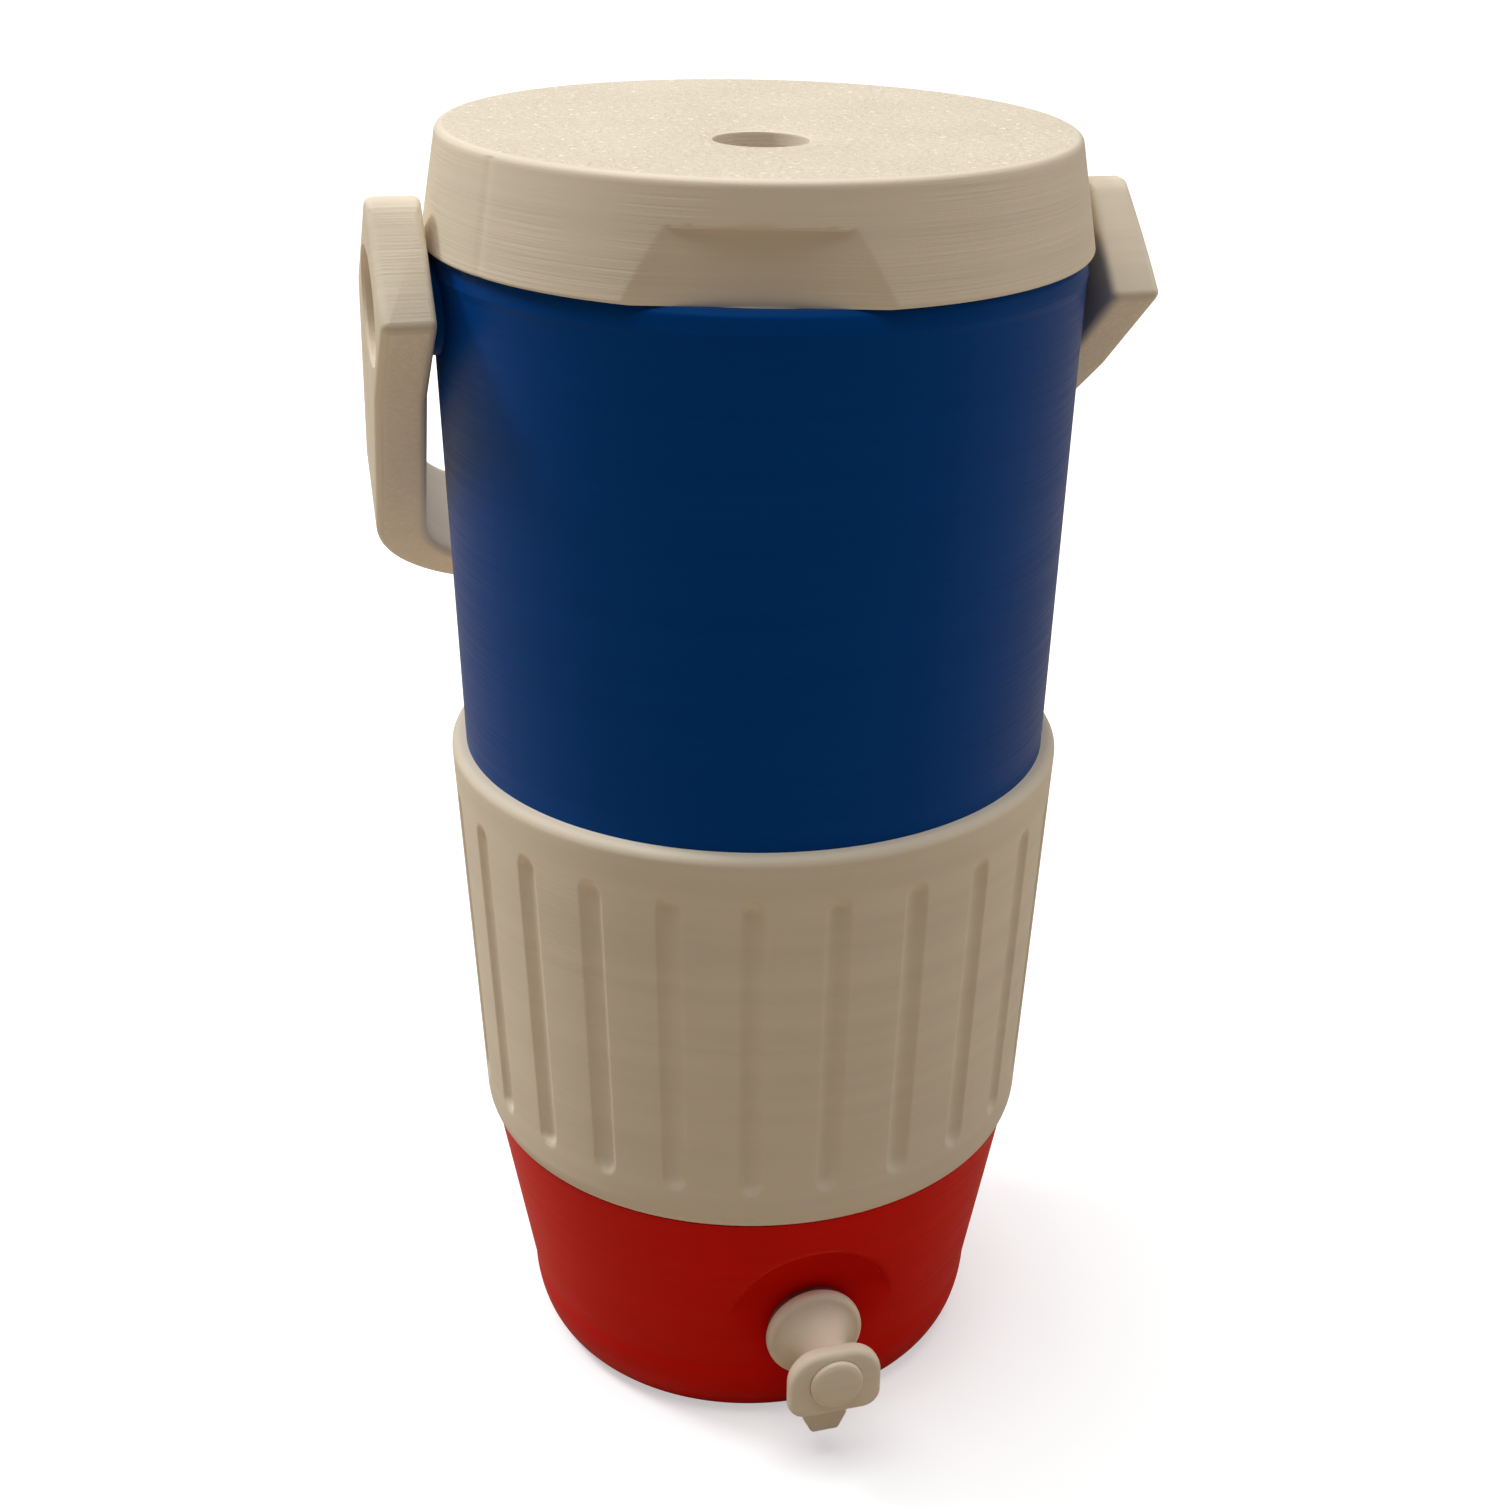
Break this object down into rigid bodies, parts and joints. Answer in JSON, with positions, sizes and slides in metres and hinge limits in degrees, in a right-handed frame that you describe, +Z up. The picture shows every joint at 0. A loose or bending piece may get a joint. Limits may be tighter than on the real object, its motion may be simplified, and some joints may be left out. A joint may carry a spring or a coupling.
{
  "type": "beverage dispenser",
  "caption": "Tumbler-size insulated drinks jug with a push-button tap, a lift-off lid with a straw hole, a grooved middle band and a swinging bail handle.",
  "frame": {"origin": "centre of the flat underside of the foot, on the vessel's axis", "axes": "+Z up along the vessel's axis, -Y out along the tap, +X along the handle's pivot"},
  "size_m": [0.0954, 0.1127, 0.1716],
  "materials": {
    "red_plastic": "matte, with fine horizontal layer lines",
    "white_plastic": "matte warm white, with fine horizontal layer lines",
    "blue_plastic": "matte, with fine horizontal layer lines",
    "tap_plastic": "matte warm white",
    "liner_plastic": "smooth, food-safe",
    "foam": "closed-cell foam",
    "rubber": "satin",
    "steel": "drawn wire and rod"
  },
  "bodies": {
    "vessel": {"base_shell": "red_plastic", "ribbed_band": "white_plastic", "upper_shell": "blue_plastic", "liner": "liner_plastic", "foam_cup": "foam", "foam_sleeve": "foam", "left_pivot_pin": "white_plastic", "right_pivot_pin": "white_plastic", "tap_body": "tap_plastic", "return_spring": "steel", "outer_gasket": "rubber", "inner_gasket": "rubber", "lock_nut": "liner_plastic"},
    "lid": {"lid_cap": "white_plastic", "lid_plug": "liner_plastic", "lid_foam": "foam", "lid_gasket": "rubber"},
    "bail": {"bail_handle": "white_plastic"},
    "button": {"tap_button": "tap_plastic", "valve_stem": "steel", "valve_seal": "rubber", "button_ring": "rubber"}
  },
  "joints": [
    {"name": "bail_swing", "type": "hinge", "parent": "vessel", "child": "bail", "pos_m": [0, 0, 0.1515], "axis": [1, 0, 0], "range_deg": [-11.5, 270.5]},
    {"name": "lid_lift", "type": "slide", "parent": "vessel", "child": "lid", "axis": [0, 0, 1], "range_m": [0, 0.03]},
    {"name": "button_press", "type": "slide", "parent": "vessel", "child": "button", "axis": [0, 1, 0], "range_m": [0, 0.0006], "stiffness_N_per_m": 500, "springref_m": -0.001, "deforming": ["return_spring"]}
  ]
}
